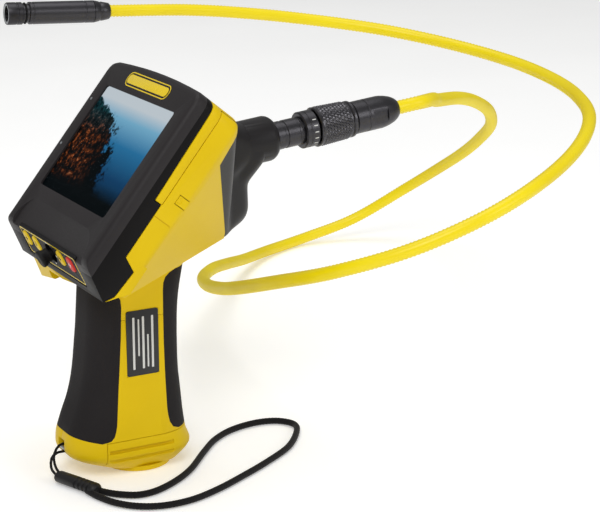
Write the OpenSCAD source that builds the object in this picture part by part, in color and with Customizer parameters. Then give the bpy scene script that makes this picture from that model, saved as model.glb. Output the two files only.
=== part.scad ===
// Pistol-grip inspection camera: colour-screen console on a yellow cradle and handle,
// with a bendable one-piece probe that ends in a small lit camera head.
// Millimetres. +Z is up, +X is the way the probe leaves the nose, origin on the underside of the foot.

/* [Console] */
// Lean of the screen above the horizontal, degrees
screen_tilt = 51; // [50:0.5:52]
// Width of the console and its cradle
console_w = 92; // [91:0.5:93]
// Visible width of the picture
lcd_w = 70.1; // [66:0.1:71]
// Visible height of the picture
lcd_h = 52.6; // [50:0.1:53]
// Wall thickness of the console mouldings
console_wall = 2; // [1.8:0.1:2.2]

/* [Keypad] */
// Across-flats size of an oval key along the panel
key_len = 8; // [7:0.5:8.5]
// Width of an oval key
key_wid = 6; // [5:0.5:6.5]
// Travel of a key when it is pressed
key_travel = 1; // [0.6:0.1:1.2]
// Diameter of the joystick cap
stick_d = 8; // [7:0.5:8.5]

/* [Body] */
// Wall thickness of the yellow mouldings
body_wall = 2.6; // [2.4:0.1:2.8]
// Thickness of the soft grips
grip_t = 1.3; // [1.1:0.1:1.4]
// Height of the level seam round the handle
seam_z = 73; // [72:0.5:76]
// Height of the top edge of the battery cover
cover_z = 17.5; // [17.2:0.1:17.6]
// Diameter of the round foot
foot_d = 32; // [30:1:33]

/* [Nose and probe plug] */
// Upward tilt of the nose, degrees
nose_tilt = 6; // [5:0.5:7]
// Outer diameter of the nose
nose_d = 20.8; // [20:0.2:21.6]
// Outer diameter of the socket tube
socket_d = 13; // [12.8:0.1:13.2]
// Outer diameter of the locking collar at its front
collar_d = 18.6; // [18:0.1:19]
// Outer diameter of the plug barrel
barrel_d = 15.3; // [15:0.1:16]

/* [Probe] */
// Diameter of the bendable tube
tube_d = 6.75; // [6.5:0.05:6.8]
// Diameter of the camera head
head_d = 12; // [11.8:0.1:12.2]

/* [Wrist strap] */
// Diameter of the woven cord
strap_d = 3; // [2.6:0.1:3.2]
// Diameter of the thin string
string_d = 1.2; // [1:0.1:1.4]

/* [Hidden] */
$fn = 48;
hull_fn = 28;
gap = 0.3;            // clearance between pieces that move past each other
seat = 0.05;          // clearance between pieces that are fixed together
big = 300;

// Screen frame: local X runs up the face, local Z points out of the glass.
screen_x = -5;
screen_z = 146;
half_w = console_w / 2;
face_top = 41;        // distance of each edge from the middle of the picture
face_bottom = -47.2;
bezel_d = 5.5;        // depth of the front moulding
face_skin = 1;        // thickness of the face round the window
tub_w = 80;           // width of the console's inner tub
tub_u = [-38.5, 34];
tub_n = -20.5;
seam_top = -8.6;      // depth of the black side at its top edge
seam_mid = -9.9;      // at the first step
seam_low = -13.5;     // between the steps
box_back = -26;       // depth of the yellow cheeks

// Keypad frame: the slanted lower end of the console.
key_tilt = 63.7;
panel_w = 64;
panel_l = 15.6;
key_x = -6.2;
key_y = [-23.7, -12.6, 15, 26];
stick_x = -7.2;

// Nose frame: local Z runs along the nose, out of the object.
nose_x = 80;
nose_z = 143;
nose_r = nose_d / 2;
socket_r = socket_d / 2;
tube_r = tube_d / 2;
axis_dir = [cos(nose_tilt), 0, sin(nose_tilt)];

// Camera head frame: its start and heading at the end of the tube.
head_pos = [91, 206, 172];
head_yaw = 175;
head_pitch = 2;
head_r = head_d / 2;
head_dir = [cos(head_pitch) * cos(head_yaw), cos(head_pitch) * sin(head_yaw), sin(head_pitch)];

// Handle sections from the foot up: height, back, front, half width.
corner_r = 11;
sections = [
    [2.5, -13, 24, 14.5], [9, -28, 29.5, 19.2], [16, -30, 27.5, 19.3], [24, -27.8, 26.3, 19],
    [34, -24, 25.4, 18.4], [46, -21.3, 24.4, 17.8], [66, -19, 24.3, 17.5], [80, -18, 25.3, 17.5],
    [94, -17, 28, 17.5]];

// Battery bay
cell_r = 7.25;
cell_l = 50.5;
cell_z = 18.2;
cell_pitch = 14.8;
holder_z = 75.2;
plate_z = 16;
groove_z = [8.8, 13.2];
bay_x = 2.5;

// Screw places on the body: x, z and how far the posts reach before the wall trims them
screw_at = [[-2.5, 84, 16.6], [9.5, 84, 16.6], [20, 107, 60], [35, 113, 60]];

// Route of the bendable tube, chosen by hand, with its two straight ends worked out.
tube_start = 52;      // distance of the tube's hidden end along the nose axis
tube_mid = [
    [169, 8.5, 149.8], [180, 22, 146], [209, 47, 140], [237, 73, 131], [263, 98, 119], [284, 126, 104],
    [299, 159, 88], [311, 193, 72], [318, 228, 55], [311, 259, 35], [285, 279, 14], [250, 283, 4.6],
    [216, 268, 4.6], [186, 241, 10], [157, 206, 20], [133, 176, 28], [112, 145, 34], [97, 110, 41],
    [87, 74, 50], [79, 38, 61], [79, 2, 73], [92, -32, 85], [119, -56, 98], [153, -66, 112],
    [189, -58, 123], [221, -39, 131], [247, -12, 137], [265, 22, 140], [276, 59, 142], [277, 97, 145],
    [263, 133, 150], [237, 162, 156], [206, 182, 161], [170, 195, 166], [132, 202, 170]];

// Wrist strap: the cord lies on the surface, from the crimp round and back.
strap_r = strap_d / 2;
crimp_from = [-34.5, -11];
crimp_to = [-27.5, -29];
strap_route = [
    [-27, -27, 2], [-24, -32, 1.6], [-19, -38, 1.6], [-12, -42.5, 1.6], [-3, -42, 1.6], [9, -36, 1.6],
    [21, -26.5, 1.6], [35, -11, 1.6], [47, 1, 1.6], [60, 8.5, 1.6], [74, 11, 1.6], [84, 8, 1.6],
    [88.5, 0, 1.6], [84, -10, 1.6], [72, -24, 1.6], [55, -35.5, 1.6], [38, -45, 1.6], [21, -53.5, 1.6],
    [6, -58.5, 1.6], [-7, -58.5, 1.6], [-17, -54, 1.6], [-24, -46, 1.6], [-28, -36, 1.6], [-30, -28, 2]];
string_route = [
    [-33.2, -13.5, 3.2], [-34.6, -10, 3.6], [-35.6, -6, 6.4], [-35, -3, 10.2], [-32.6, -1.5, 13.4],
    [-29.6, -0.7, 14.3], [-27.2, -0.2, 12.6], [-28.3, 0.4, 10.3], [-31.6, 0.9, 9.9], [-34.8, 0.2, 8.2],
    [-36.8, -4, 5.2], [-36.4, -9, 3.6], [-35, -13, 3.2]];
bar_x = -28.9;
bar_z = 12;

// The sides of a rounded tube swept along a smooth curve through a list of points.
function unit(v) = v / norm(v);
function spline(p, i, t) =
    let (n = len(p) - 1, a = p[max(i - 1, 0)], b = p[i], c = p[i + 1], d = p[min(i + 2, n)])
    0.5 * (2 * b + (c - a) * t + (2 * a - 5 * b + 4 * c - d) * t * t + (3 * b - a - 3 * c + d) * t * t * t);
function smooth(p, k) = [for (i = [0:len(p) - 2], j = [0:k - 1]) spline(p, i, j / k), p[len(p) - 1]];
function heading(p, i) = unit(p[min(i + 1, len(p) - 1)] - p[max(i - 1, 0)]);
function carry(p, i, side) = let (h = heading(p, i)) unit(side - h * (side * h));
function sides(p, i, side) = i == len(p) ? [] : let (s = carry(p, i, side)) concat([s], sides(p, i + 1, s));
module swept_tube(p, r, n) {
    s = sides(p, 0, [0.1, 0.2, 1]);
    rings = [for (i = [0:len(p) - 1], k = [0:n - 1])
        p[i] + r * (s[i] * cos(360 * k / n) + cross(heading(p, i), s[i]) * sin(360 * k / n))];
    last = len(p) - 1;
    walls = [for (i = [0:last - 1], k = [0:n - 1])
        [i * n + k, (i + 1) * n + k, (i + 1) * n + (k + 1) % n, i * n + (k + 1) % n]];
    polyhedron(rings, concat(walls, [[for (k = [0:n - 1]) k]],
        [[for (k = [n - 1:-1:0]) last * n + k]]), convexity = 10);
}
tube_route = concat([for (s = [tube_start, 60, 68, 78]) [nose_x, 0, nose_z] + s * axis_dir],
    tube_mid, [head_pos, head_pos + 9 * head_dir]);

module on_screen() translate([screen_x, 0, screen_z]) rotate([0, -screen_tilt, 0]) children();
module on_keypad() on_screen() translate([face_bottom, 0, 0]) rotate([0, -key_tilt, 0]) children();
module on_nose(s) translate([nose_x, 0, nose_z] + s * axis_dir) rotate([0, 90 - nose_tilt, 0]) children();
module on_head(s) translate(head_pos + s * head_dir) rotate([0, 90 - head_pitch, head_yaw]) children();
// A side outline in a frame's X and Z, given width across Y.
module side_slab(pts, w) rotate([90, 0, 0]) linear_extrude(w, center = true) polygon(pts);
module slab(x0, x1, w, z0, z1) translate([x0, -w / 2, z0]) cube([x1 - x0, w, z1 - z0]);
module left_half() intersection() { children(); translate([-big, -2 * big, -big]) cube(2 * big); }
module right_half() intersection() { children(); translate([-big, 0, -big]) cube(2 * big); }

// Console
module console_outline(g = 0) side_slab([
    [face_top + g, g], [face_top + g, seam_top - g], [-9 + g, seam_mid - g], [-9 + g, seam_low - g],
    [-35.3 + g, seam_low - g], [-38.5 + g, tub_n - g], [-51.5, -19.5 - g], [-56 - g, -16.5 - g],
    [face_bottom - g, g]], console_w + 2 * g);
module window_hole() slab(-lcd_h / 2 - 0.5, lcd_h / 2 + 0.5, lcd_w + 1, -10, 1);
module keypad_space() {
    on_keypad() translate([-panel_l - 0.4, -panel_w / 2 - 0.4, -1.8]) cube([panel_l + 0.8 - 0.6, panel_w + 0.8, 5]);
    on_keypad() translate([-14.5, -31, -7]) cube([12.5, 62, 6]);
}
module console_bezel() color("#37343a") difference() {
    on_screen() intersection() {
        console_outline();
        slab(-70, 60, big, -bezel_d, 1);
    }
    on_screen() window_hole();
    on_screen() slab(-42, 36, 86, -bezel_d - 1, -face_skin);
    keypad_space();
}
module console_back() color("#201e20") difference() {
    on_screen() union() {
        intersection() {
            console_outline();
            slab(-70, 60, big, -40, -bezel_d);
        }
        slab(tub_u[0], tub_u[1], tub_w, tub_n, -bezel_d);
    }
    on_screen() slab(-40.5, 36, 86, seam_top + 1.4, 1);
    difference() {
        on_screen() slab(-40.5, tub_u[1] - console_wall, tub_w - 2 * console_wall, tub_n + console_wall, 0);
        console_screw_places() cylinder(r = 3, h = 11.5);
    }
    keypad_space();
    console_screw_places() translate([0, 0, -1]) cylinder(r = 1.25, h = 11);
    console_screw_places() translate([0, 0, -2]) cylinder(r = 2.4, h = 3.2);
}
module screen_window() color("#9fb4c4", 0.4) on_screen()
    slab(-lcd_h / 2 - 3, lcd_h / 2 + 3, lcd_w + 6, -face_skin - 1.05, -face_skin - seat);
module lcd_panel() color("#27415a") on_screen() slab(-31, 31, 78, -5.2, -face_skin - 1.1);
module console_board() color("#2c6b46") on_screen() slab(-38, 30.5, 74, -8.2, -6.9);
module console_battery() color("#b9bec4") on_screen() slab(-28, 14, 56, -17.5, -11.5);
module console_screw_places() on_screen() for (u = [-36, 28], y = [-34, 34])
    translate([u, y, tub_n]) children();
module console_screws() color("#8a8d90") console_screw_places() {
    translate([0, 0, 0.1]) cylinder(r = 2.2, h = 1.05);
    translate([0, 0, 1]) cylinder(r = 1.2, h = 8.5);
}
module name_badge() color("#e3c92a") on_screen() translate([33.5, 0, 0.02]) hull()
    for (y = [-18.5, 18.5]) translate([0, y, 0]) cylinder(r = 3, h = 0.8);
module status_lights() color("#c9ced2") on_screen() for (u = [-6.2, 18.1])
    translate([u, 41, 0.02]) cylinder(r = 0.7, h = 0.3);

// Keypad
module keypad_plate() color("#1b1a1b") on_keypad() difference() {
    slab(-panel_l, -0.6, panel_w, -1.7, 0);
    for (y = key_y) translate([key_x, y, -3]) key_shape(gap);
    translate([stick_x, 0, -3]) cylinder(r = stick_d / 2 + 0.8, h = 5);
}
module key_shape(g = 0, h = 6) linear_extrude(h) intersection() {
    square([key_len + 2 * g, key_wid + 2 * g], center = true);
    circle(r = key_len / 2 + g);
}
module key_cap(y) on_keypad() translate([key_x, y, -1.6]) key_shape(0, 2.3);
module key_left_outer() color("#d9be22") key_cap(key_y[3]);
module key_left_inner() color("#d9be22") key_cap(key_y[2]);
module key_right_inner() color("#d9be22") key_cap(key_y[1]);
module power_key() color("#c23a34") key_cap(key_y[0]);
module joystick_rocker() color("#55585c") on_keypad() translate([stick_x, 0, -3]) for (a = [0, 90])
    rotate([90, 0, a]) cylinder(r = 0.7, h = 5, center = true);
module joystick_cap() color("#151415") on_keypad() translate([stick_x, 0, 0]) {
    translate([0, 0, -1.7]) cylinder(r = 1.6, h = 2.8);
    translate([0, 0, 1]) cylinder(r = stick_d / 2 - 0.8, h = 2);
    translate([0, 0, 3]) cylinder(r1 = stick_d / 2 - 0.8, r2 = stick_d / 2, h = 1.5);
    translate([0, 0, 4.5]) cylinder(r1 = stick_d / 2, r2 = stick_d / 2 - 0.8, h = 1.7);
}
module key_switches() color("#70747a") on_keypad() {
    for (y = key_y) translate([key_x - 2.5, y - 2.5, -6.9]) cube([5, 5, 6.9 - 1.6 - key_travel - gap]);
    translate([stick_x - 3, -3, -6.9]) cube([6, 6, 2.4]);
}

// Cradle between the console and the body
module cradle() color("#e2c82a") difference() {
    on_screen() union() {
        side_slab([[face_top, -14], [face_top, seam_top - gap], [-8.7, seam_mid - gap], [-8.7, -14]], console_w);
        slab(-47, 37, 86.4, -23, -14);
    }
    on_screen() slab(tub_u[0] - gap, tub_u[1] + gap, tub_w + 2 * gap, tub_n - gap, 5);
    on_screen() console_outline(gap);
    on_screen() slab(-60, tub_u[0] + 1, 88, tub_n - gap, 5);
    for (s = [-1, 1]) on_screen() translate([-6, s * 43.5 - 4, -25.5]) cube([6, 8, 8]);
}

// Body
module section_at(p, i) for (x = [p[1] + corner_r, p[2] - corner_r], y = [-1, 1])
    translate([x, y * (p[3] - corner_r), p[0]]) cylinder(r = corner_r - i, h = 0.02, $fn = hull_fn);
module handle_solid(i = 0) for (k = [0:len(sections) - 2]) hull() {
    section_at(sections[k], i);
    section_at(sections[k + 1], i);
}
module bay_block(i, z0, z1) translate([0, 0, z0]) linear_extrude(z1 - z0) hull()
    for (x = [-7.5, 13.5], y = [-7.9, 7.9]) translate([x, y]) circle(r = 7 - i, $fn = hull_fn);
module core_block(i, z0, z1) for (y = [-7, 7])
    translate([42, y, z0 + i]) cylinder(r = 8 - i, h = z1 - z0 - 2 * i, $fn = hull_fn);
module head_solid(i = 0) hull() {
    on_screen() slab(-50 + i, face_top - i, console_w - 2 * i, box_back + i, -13 + i);
    core_block(i, 103, 153);
}
module above_rim() on_screen() side_slab([[60, -14.2], [-8.6, -14.2], [-8.6, -13.8], [-35.25, -13.8],
    [-38.45, -20.8], [-51.5, -19.8], [-56.3, -16.8], [-70, -10], [-70, 20], [60, 20]], big);
module cowl_side() side_slab([[47, 176], [41, 161.8], [29.4, 143.4], [44.5, 106], [46, 90], [120, 90],
    [120, 176]], big);
rear_zone = [[-45, 25], [-30, 20.5], [-18, 17.8], [-14, 18.5], [-12, 20.5], [-11, 25], [-8.7, 49],
    [-7.5, 65], [-6.9, 79], [-8, 84], [-12, 86], [-45, 86]];
front_zone = [[13.6, 30], [13, 60], [13, 84], [14.2, 89], [18, 92], [24, 93], [45, 93], [45, 18.3],
    [20, 18.3], [16.6, 19.8], [14.4, 24]];
module grip(zone) intersection() {
    difference() {
        handle_solid();
        handle_solid(grip_t);
    }
    side_slab(zone, big);
}
module grip_pocket(zone) difference() {
    side_slab(zone, 60);
    handle_solid(grip_t);
}
module rear_grip() color("#2b292b") grip(rear_zone);
module front_grip() color("#2b292b") grip(front_zone);
module cover_zone(g = 0) translate([-15.8 - g, -big, -big]) cube([2 * big, 2 * big, big + cover_z + g]);
module screw_post(p, r, reach = 60) translate([p[0], 0, p[1]]) rotate([90, 0, 0])
    cylinder(r = r, h = 2 * reach, center = true);
module body_raw() difference() {
    union() {
        difference() {
            union() {
                head_solid();
                handle_solid();
                on_screen() side_slab([[-34, -18], [-57.5, -15], [-56, -16.8], [-50, -22], [-47, box_back + 1],
                    [-34, box_back + 1]], console_w);
            }
            head_solid(body_wall);
            bay_block(0, 4.8, 98);
        }
        for (p = screw_at) intersection() {
            screw_post(p, 4, p[2]);
            head_or_handle(p[2]);
        }
    }
    above_rim();
    cowl_side();
    grip_pocket(rear_zone);
    grip_pocket(front_zone);
    cover_zone(gap);
    for (s = [-1, 1]) on_screen() translate([-5.3, s * 46 - 5, -24.5]) cube([4.6, 10, 6.1]);
    strap_slot();
}
module head_or_handle(reach) if (reach > 20) head_solid(0.7); else translate([-big, -reach, -big])
    cube([2 * big, 2 * reach, 2 * big]);
module strap_slot() translate([-36, -3.2, 9]) cube([10, 6.4, 7.6]);
module above_seam() translate([-big, -big, seam_z + 0.05]) cube([2 * big, 2 * big, big]);
module below_seam() translate([-big, -big, -big]) cube([2 * big, 2 * big, big + seam_z - 0.05]);
module left_body() color("#e2c82a") difference() {
    intersection() {
        left_half() body_raw();
        above_seam();
    }
    for (p = screw_at) screw_post(p, 1.2);
    label_pocket();
}
module right_body() color("#e2c82a") difference() {
    intersection() {
        right_half() body_raw();
        above_seam();
    }
    for (p = screw_at) screw_post(p, 1.5);
    for (p = screw_at) translate([p[0], 70, p[1]]) rotate([90, 0, 0]) cylinder(r = 2.9, h = 60);
}
module left_handle() color("#e2c82a") difference() {
    intersection() {
        left_half() body_raw();
        below_seam();
    }
    label_pocket();
}
module right_handle() color("#e2c82a") intersection() {
    right_half() body_raw();
    below_seam();
}
module nose_cowl() color("#232123") difference() {
    intersection() {
        union() {
            head_solid();
            hull() {
                core_block(0, 104, 150);
                translate([54, 0, 113]) sphere(r = 9.5, $fn = hull_fn);
                translate([53.5, 0, 128]) sphere(r = 9.5, $fn = hull_fn);
            }
            hull() {
                core_block(0, 128, 152);
                on_nose(-26) cylinder(r = nose_r, h = 8, $fn = hull_fn);
            }
            on_nose(-20) cylinder(r = nose_r, h = 15.5);
            on_nose(-4.6) cylinder(r = nose_r - 1.4, h = 1.7);
        }
        cowl_side();
    }
    above_rim();
    difference() {
        head_solid(body_wall);
        translate([46, -big, 100]) cube([20, 2 * big, 80]);
    }
    hull() {
        core_block(body_wall, 106, 146);
        translate([54, 0, 113]) sphere(r = 9.5 - body_wall, $fn = hull_fn);
        translate([53.5, 0, 128]) sphere(r = 9.5 - body_wall, $fn = hull_fn);
    }
    handle_solid(-gap);
    on_nose(-40) cylinder(r = socket_r + seat, h = 60);
}
module side_label() color("#191819") translate([-5, -17.9, 46.6]) cube([15.4, 0.6, 30]);
module label_pocket() translate([-5.05, -19, 46.55]) cube([15.5, 1.75, 30.1]);
module release_key(s) on_screen() translate([-5, s * 44.2 - 1.8, -24.2]) cube([4, 3.6, 5.5]);
module left_release() color("#d6bb24") release_key(-1);
module right_release() color("#d6bb24") release_key(1);
module body_screws() color("#8a8d90") for (p = screw_at) translate([p[0], 0, p[1]]) rotate([90, 0, 0]) {
    translate([0, 0, -10.1]) cylinder(r = 1.15, h = 18);
    translate([0, 0, -12.5]) cylinder(r = 2.6, h = 2.45);
}
module radio_board() color("#2c6b46") on_screen() slab(-6, 30, 34, -28.5, -27);

// Battery bay
module battery_cells() color("#c7a33a") for (x = [-0.5, 0.5], y = [-0.5, 0.5])
    translate([bay_x + x * cell_pitch, y * cell_pitch, cell_z]) cylinder(r = cell_r, h = cell_l - 1.2);
module cell_holder() color("#303236") {
    translate([bay_x - 14, -14, holder_z]) cube([28, 28, 1.6]);
    translate([bay_x, 0, cell_z]) cylinder(r = 2.4, h = holder_z - cell_z);
}
module contact_springs() color("#c9ccd0") for (x = [-0.5, 0.5], y = [-0.5, 0.5])
    translate([bay_x + x * cell_pitch, y * cell_pitch, cell_z + cell_l - 1.1]) difference() {
        cylinder(r = 3.6, h = holder_z - 0.1 - cell_z - cell_l + 1.1);
        translate([0, 0, -1]) cylinder(r = 2.8, h = 20);
    }
module battery_cover() color("#d9be22") difference() {
    union() {
        difference() {
            intersection() {
                handle_solid();
                cover_zone();
            }
            bay_block(1.5, 4.8, 30);
        }
        translate([-3, -6, 4]) cube([11, 12, plate_z - 4]);
    }
    for (z = groove_z, s = [-1, 1]) translate([-15, s * 19.4 - 1.3, z - 0.9]) cube([31.5, 2.6, 1.8]);
}
module contact_plate() color("#c9ccd0") translate([bay_x - 10, -11.6, plate_z]) cube([20, 23.2, 1.2]);
module round_foot() color("#cfb520") translate([6, 0, 0]) cylinder(r1 = foot_d / 2 - 0.8, r2 = foot_d / 2, h = 2.5);
module strap_bar() color("#9a9da1") translate([bar_x, -3.2, bar_z]) rotate([-90, 0, 0]) cylinder(r = 0.9, h = 6.4);

// Socket and plug
module ring_on_nose(s0, s1, ro, ri) on_nose(s0) difference() {
    cylinder(r = ro, h = s1 - s0);
    translate([0, 0, -1]) cylinder(r = ri, h = s1 - s0 + 2);
}
module socket_tube() color("#2e2d30") ring_on_nose(-22, 24, socket_r, 4.75);
module socket_insert() color("#4a4d52") on_nose(-4) difference() {
    cylinder(r = 4.7, h = 4);
    for (a = [0:90:270]) rotate(a) translate([2.4, 0, -1]) cylinder(r = 0.55, h = 6);
}
module contact_pins() color("#c9a23a") on_nose(-6) for (a = [0:90:270])
    rotate(a) translate([2.4, 0, 0]) cylinder(r = 0.5, h = 18);
module index_ring() color("#2a292b") ring_on_nose(11, 18, 8.5, socket_r + seat);
module plug_core() color("#3a3a3d") on_nose(0) difference() {
    union() {
        translate([0, 0, 3]) cylinder(r = 4.67, h = 21.6);
        translate([0, 0, 24.6]) cylinder(r = 6.2, h = 1.8);
        translate([0, 0, 26]) cylinder(r = 5.2, h = 24);
    }
    translate([0, 0, 2]) cylinder(r = 3.5, h = 12);
    cylinder(r = 2, h = 60);
}
module plug_barrel() color("#2a292b") difference() {
    on_nose(38.4) union() {
        cylinder(r1 = barrel_d / 2 - 0.5, r2 = barrel_d / 2, h = 0.8);
        translate([0, 0, 0.8]) cylinder(r = barrel_d / 2, h = 14.3);
        translate([0, 0, 15.1]) cylinder(r1 = barrel_d / 2, r2 = 7.2, h = 3);
        translate([0, 0, 18.1]) cylinder(r1 = 7.2, r2 = 6.2, h = 3.5);
        translate([0, 0, 21.6]) cylinder(r1 = 6.2, r2 = 4.4, h = 2.8);
    }
    on_nose(37) cylinder(r = 5.2 + seat, h = 13.2);
    on_nose(50) cylinder(r = 4.7, h = 10.8);
    on_nose(60) cylinder(r = tube_r + 0.25, h = 10);
    for (s = [-1, 1]) on_nose(47) translate([-8, s * 8.4 - 1.6, 0]) cube([16, 3.2, 8]);
}
module lock_collar() color("#1f1e20") on_nose(18.6) difference() {
    cylinder(r1 = collar_d / 2, r2 = collar_d / 2 - 0.7, h = 19.4);
    translate([0, 0, -1]) cylinder(r = socket_r + gap, h = 9.2);
    cylinder(r = 5.27, h = 30);
}
module crimp_sleeve() color("#c9a23a") ring_on_nose(51, 60.6, 4.65, tube_r + 0.1);
module gooseneck_tube() color("#e0cb18") swept_tube(smooth(tube_route, 2), tube_r, 10);

// Camera head
module ring_on_head(s0, s1, ro, ri) on_head(s0) difference() {
    cylinder(r = ro, h = s1 - s0);
    translate([0, 0, -1]) cylinder(r = ri, h = s1 - s0 + 2);
}
module head_ferrule() color("#232224") difference() {
    union() {
        on_head(4) cylinder(r1 = 4.3, r2 = head_r, h = 9);
        on_head(13) cylinder(r = 4.95, h = 4);
    }
    on_head(3) cylinder(r = tube_r + 0.1, h = 6.3);
    on_head(3) cylinder(r = 2, h = 20);
}
module head_barrel() color("#232224") difference() {
    union() {
        on_head(13.05) cylinder(r = head_r, h = 36);
        on_head(49) cylinder(r = 4.9, h = 8.5);
    }
    on_head(12) cylinder(r = 5, h = 33);
    on_head(40) cylinder(r = 4.3, h = 20);
}
module tip_ring() color("#8d9094") on_head(52.6) difference() {
    cylinder(r = head_r, h = 8.4);
    translate([0, 0, -1]) cylinder(r = 4.97, h = 7.6);
    cylinder(r = 4.2, h = 10);
}
module seal_ring() color("#161516") on_head(51) rotate_extrude() translate([5.35, 0]) circle(r = 0.42, $fn = 24);
module lens_window() color("#9fb4c4", 0.5) on_head(57.6) cylinder(r = 4.5, h = 1.1);
module led_board() color("#e9ebe6") ring_on_head(55.6, 56.6, 4.2, 2.3);
module led_lamps() color("#fff6d0") for (a = [0:60:300]) on_head(56.65) rotate(a) translate([3.3, 0, 0])
    cylinder(r = 0.6, h = 0.6);
module camera_module() color("#26282c") on_head(46) cylinder(r = 2.2, h = 11.2);

// Wrist strap
module strap_string() color("#1b1a1b") swept_tube(smooth(string_route, 2), string_d / 2, 8);
module strap_cord() color("#1b1a1b") swept_tube(smooth(strap_route, 2), strap_r, 8);
module strap_crimp() color("#232224") difference() {
    hull() for (p = [crimp_from, crimp_to]) translate([p[0], p[1], 0.2]) cylinder(r = 3.6, h = 5.4, $fn = hull_fn);
    swept_tube(smooth(strap_route, 2), strap_r + seat, 8);
    swept_tube(smooth(string_route, 2), string_d / 2 + seat, 8);
}

console_bezel();
console_back();
screen_window();
lcd_panel();
console_board();
console_battery();
console_screws();
name_badge();
status_lights();
keypad_plate();
key_left_outer();
key_left_inner();
key_right_inner();
power_key();
joystick_rocker();
joystick_cap();
key_switches();
cradle();
left_body();
right_body();
left_handle();
right_handle();
nose_cowl();
front_grip();
rear_grip();
side_label();
left_release();
right_release();
body_screws();
radio_board();
cell_holder();
battery_cells();
contact_springs();
battery_cover();
contact_plate();
round_foot();
strap_bar();
socket_tube();
socket_insert();
contact_pins();
index_ring();
plug_core();
plug_barrel();
lock_collar();
crimp_sleeve();
gooseneck_tube();
head_ferrule();
head_barrel();
tip_ring();
seal_ring();
lens_window();
led_board();
led_lamps();
camera_module();
strap_string();
strap_crimp();
strap_cord();
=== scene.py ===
# Pistol-grip inspection camera with a detachable screen console, a bendable lit probe and a wrist strap.
# Pieces are shaped in millimetres in the object's own frame, then brought to metres when they are finished.
from math import cos, pi, radians, sin

import bmesh
import bpy
from mathutils import Matrix, Vector


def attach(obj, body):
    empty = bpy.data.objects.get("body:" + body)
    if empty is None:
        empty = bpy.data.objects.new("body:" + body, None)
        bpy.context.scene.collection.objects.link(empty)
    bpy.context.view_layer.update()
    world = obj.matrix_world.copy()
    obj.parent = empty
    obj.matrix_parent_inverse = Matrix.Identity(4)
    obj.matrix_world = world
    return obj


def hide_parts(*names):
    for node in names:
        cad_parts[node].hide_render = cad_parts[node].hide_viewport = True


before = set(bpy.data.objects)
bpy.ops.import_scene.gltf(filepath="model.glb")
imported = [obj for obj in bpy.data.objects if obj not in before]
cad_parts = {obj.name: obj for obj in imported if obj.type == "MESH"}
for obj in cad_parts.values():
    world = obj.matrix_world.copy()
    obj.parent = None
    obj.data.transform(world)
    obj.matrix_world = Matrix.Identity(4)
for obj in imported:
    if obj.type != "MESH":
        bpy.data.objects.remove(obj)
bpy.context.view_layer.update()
toMetres = 0.001
bpy.ops.object.select_all(action="DESELECT")
print("frame loaded:", len(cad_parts), "nodes")

# frames of the object, in millimetres
layout = {
    "screenMiddle": (-5, 0, 146),
    "screenLean": 51,
    "faceBottom": -47.2,
    "keypadLean": 63.7,
    "nosePoint": (80, 0, 143),
    "noseRise": 6,
    "headPoint": (91, 206, 172),
    "headYaw": 175,
    "headPitch": 2,
}


def turned(angle, axis):
    return Matrix.Rotation(radians(angle), 4, axis)


screenAt = Matrix.Translation(layout["screenMiddle"]) @ turned(-layout["screenLean"], "Y")
keypadAt = screenAt @ Matrix.Translation((layout["faceBottom"], 0, 0)) @ turned(-layout["keypadLean"], "Y")
noseWay = Vector((cos(radians(layout["noseRise"])), 0, sin(radians(layout["noseRise"]))))
headTurn = turned(layout["headYaw"], "Z") @ turned(90 - layout["headPitch"], "Y")
headWay = headTurn.to_3x3() @ Vector((0, 0, 1))


def noseAt(along):
    place = Matrix.Translation(Vector(layout["nosePoint"]) + along * noseWay)
    return place @ turned(90 - layout["noseRise"], "Y")


def headAt(along):
    return Matrix.Translation(Vector(layout["headPoint"]) + along * headWay) @ headTurn


# camera, placed first
cameraSetup = {"place": (-0.32705, -0.75729, 0.32906), "pitch": 90 - 15.78, "yaw": -28.93, "lens": 115.9}
bpy.ops.object.camera_add(
    location=cameraSetup["place"],
    rotation=(radians(cameraSetup["pitch"]), 0, radians(cameraSetup["yaw"])),
)
camera = bpy.context.object
camera.data.sensor_width = 36
camera.data.lens = cameraSetup["lens"]
camera.data.clip_start = 0.01
bpy.context.scene.camera = camera


# small modelling helpers
def only(piece):
    bpy.ops.object.select_all(action="DESELECT")
    piece.select_set(True)
    bpy.context.view_layer.objects.active = piece


def named(name):
    piece = bpy.context.object
    piece.name = name
    piece.data.name = name
    return piece


def settle(piece, matrix=None):
    if matrix is not None:
        piece.matrix_world = matrix @ piece.matrix_world
    only(piece)
    bpy.ops.object.transform_apply(location=True, rotation=True, scale=True)
    return piece


def editing(piece, selectMode="VERT"):
    only(piece)
    bpy.ops.object.mode_set(mode="EDIT")
    bpy.ops.mesh.select_mode(type=selectMode)
    bpy.ops.mesh.select_all(action="SELECT")


def done():
    bpy.ops.object.mode_set(mode="OBJECT")


def pickEdges(piece, test):
    # selects the edges whose two ends pass the test
    editing(piece, "EDGE")
    bpy.ops.mesh.select_all(action="DESELECT")
    mesh = bmesh.from_edit_mesh(piece.data)
    for edge in mesh.edges:
        edge.select = test(edge.verts[0].co, edge.verts[1].co)
    mesh.select_flush_mode()
    bmesh.update_edit_mesh(piece.data)


def block(name, low, high):
    # a box between two corners
    size = [b - a for a, b in zip(low, high)]
    middle = [(a + b) / 2 for a, b in zip(low, high)]
    bpy.ops.mesh.primitive_cube_add(size=1, location=middle)
    piece = named(name)
    piece.scale = size
    return settle(piece)


def outward():
    # faces the whole open mesh outward and leaves edit mode
    bpy.ops.mesh.select_all(action="SELECT")
    bpy.ops.mesh.normals_make_consistent(inside=False)
    done()


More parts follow.
